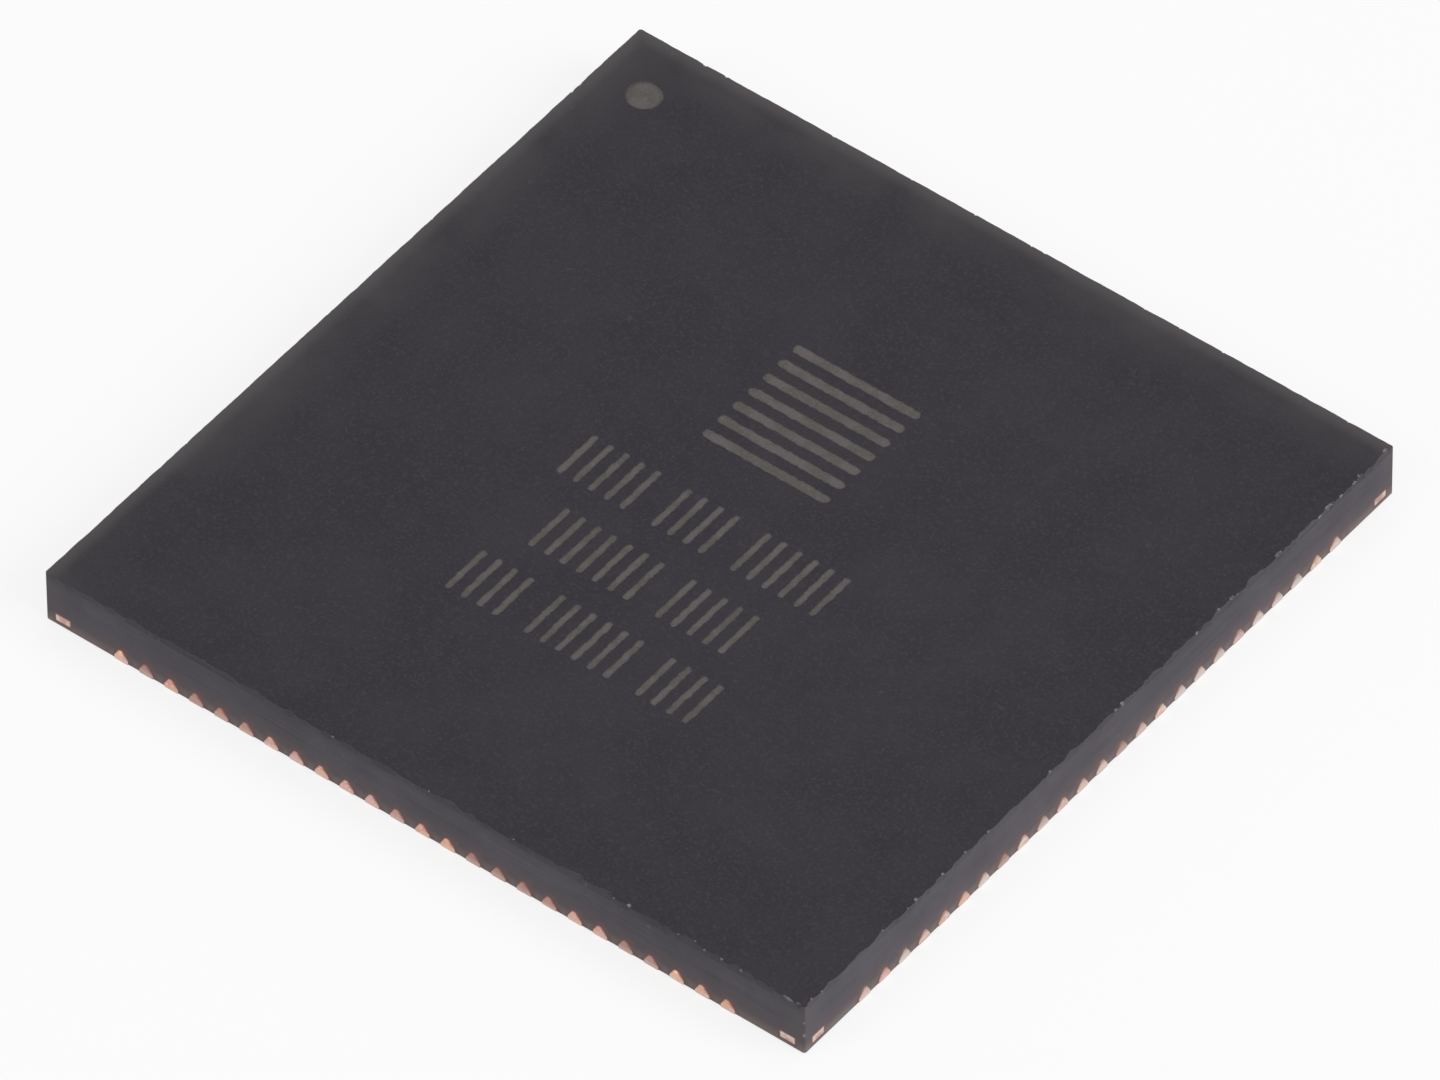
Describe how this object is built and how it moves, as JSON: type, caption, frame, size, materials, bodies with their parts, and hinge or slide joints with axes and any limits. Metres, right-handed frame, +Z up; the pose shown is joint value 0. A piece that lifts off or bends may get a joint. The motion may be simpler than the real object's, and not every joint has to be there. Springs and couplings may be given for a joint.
{
  "type": "usb interface chip",
  "caption": "Flat square chip package: a sawn black moulded body with copper terminals flush along every side, a bare solder pad underneath and an index dot on top.",
  "frame": {"origin": "middle of the seating plane, where the undersides of the terminals and of the solder pad lie", "axes": "+Z up through the package, +Y towards the back side, with the index dot in the -X +Y corner of the top"},
  "size_m": [0.012, 0.012, 0.0009],
  "materials": {
    "moulding_compound": "matte",
    "tinned_pad": "satin",
    "copper_leads": "satin",
    "die_adhesive": "matte",
    "silicon": "satin",
    "bond_wire": "gloss"
  },
  "bodies": {
    "root": {"mould_body": "moulding_compound", "die_pad": "tinned_pad", "die_attach": "die_adhesive", "die": "silicon", "leads_front": "copper_leads", "leads_right": "copper_leads", "leads_back": "copper_leads", "leads_left": "copper_leads", "wires_front": "bond_wire", "wires_right": "bond_wire", "wires_back": "bond_wire", "wires_left": "bond_wire"}
  },
  "joints": []
}
